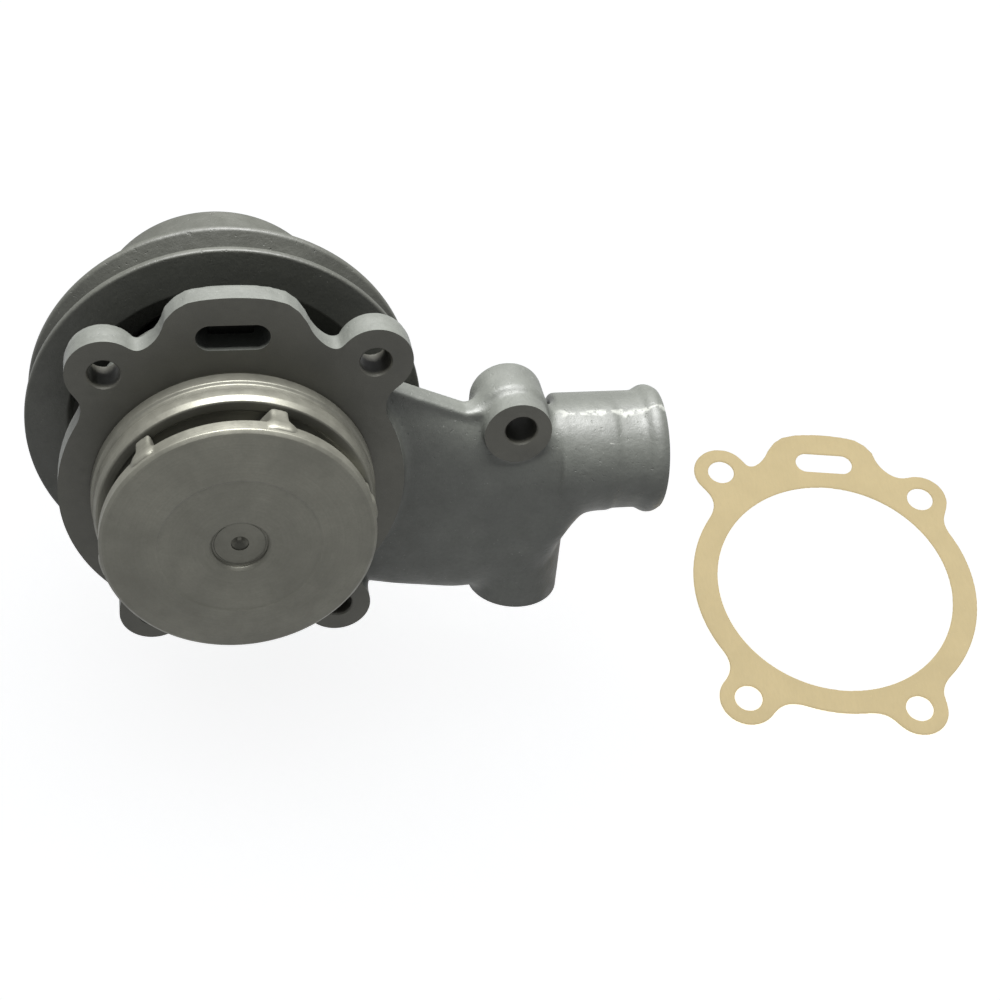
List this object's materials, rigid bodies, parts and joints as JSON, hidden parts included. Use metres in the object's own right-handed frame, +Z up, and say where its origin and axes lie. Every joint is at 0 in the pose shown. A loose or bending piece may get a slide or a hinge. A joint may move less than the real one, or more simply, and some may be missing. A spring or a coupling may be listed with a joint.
{
  "type": "engine water pump",
  "caption": "Belt-driven engine water pump with open-vane impeller, side suction hose neck, bolted flange, V-belt pulley and a loose paper gasket.",
  "frame": {"origin": "centre of the mounting flange's face, on the shaft's axis; the pump is held there by the engine", "axes": "+X towards the hose neck, +Y from the engine towards the pulley along the shaft, +Z up with the by-pass slot at the top"},
  "size_m": [0.3929, 0.1551, 0.1923],
  "materials": {
    "cast_grey_paint": "grey paint over sand casting, satin",
    "pulley_paint": "grey paint, satin",
    "machined_iron": "turned iron with a dark olive oxide film",
    "ground_steel": "ground",
    "bearing_steel": "polished bearing steel",
    "plated_steel": "zinc plated",
    "brass": "pressed sheet, dull",
    "rubber": "matt black",
    "carbon": "lapped carbon",
    "ceramic": "lapped",
    "felt": "wool felt",
    "gasket_paper": "tan fibre paper, matt"
  },
  "bodies": {
    "housing": {"pump_body": "cast_grey_paint", "rear_bearing_outer_race": "bearing_steel", "front_bearing_outer_race": "bearing_steel", "outer_distance_piece": "ground_steel", "bearing_circlip": "plated_steel", "seal_case": "brass", "seal_bellows": "rubber", "seal_spring": "plated_steel", "seal_carbon_face": "carbon", "felt_seal": "felt", "felt_seal_retainer": "plated_steel", "mounting_gasket": "gasket_paper"},
    "rotor": {"impeller": "machined_iron", "drive_shaft": "ground_steel", "pulley": "pulley_paint", "shaft_key": "ground_steel", "pulley_washer": "plated_steel", "pulley_nut": "plated_steel", "rear_bearing_inner_race": "bearing_steel", "front_bearing_inner_race": "bearing_steel", "inner_distance_piece": "ground_steel", "seal_ceramic_seat": "ceramic", "seal_seat_boot": "rubber", "water_slinger": "brass"},
    "rear_ball_set": {"rear_bearing_cage": "brass", "rear_bearing_ball_1": "bearing_steel", "rear_bearing_ball_2": "bearing_steel", "rear_bearing_ball_3": "bearing_steel", "rear_bearing_ball_4": "bearing_steel", "rear_bearing_ball_5": "bearing_steel", "rear_bearing_ball_6": "bearing_steel", "rear_bearing_ball_7": "bearing_steel", "rear_bearing_ball_8": "bearing_steel"},
    "front_ball_set": {"front_bearing_cage": "brass", "front_bearing_ball_1": "bearing_steel", "front_bearing_ball_2": "bearing_steel", "front_bearing_ball_3": "bearing_steel", "front_bearing_ball_4": "bearing_steel", "front_bearing_ball_5": "bearing_steel", "front_bearing_ball_6": "bearing_steel", "front_bearing_ball_7": "bearing_steel", "front_bearing_ball_8": "bearing_steel"}
  },
  "joints": [
    {"name": "shaft_spin", "type": "hinge", "parent": "housing", "child": "rotor", "pos_m": [0, 0, 0], "axis": [0, 1, 0], "continuous": true},
    {"name": "rear_cage_spin", "type": "hinge", "parent": "housing", "child": "rear_ball_set", "pos_m": [0, 0, 0], "axis": [0, 1, 0], "continuous": true},
    {"name": "front_cage_spin", "type": "hinge", "parent": "housing", "child": "front_ball_set", "pos_m": [0, 0, 0], "axis": [0, 1, 0], "continuous": true}
  ],
  "couplings": [
    {"joint": "rear_cage_spin", "follows": "shaft_spin", "ratio": 0.3815},
    {"joint": "front_cage_spin", "follows": "shaft_spin", "ratio": 0.3815}
  ]
}
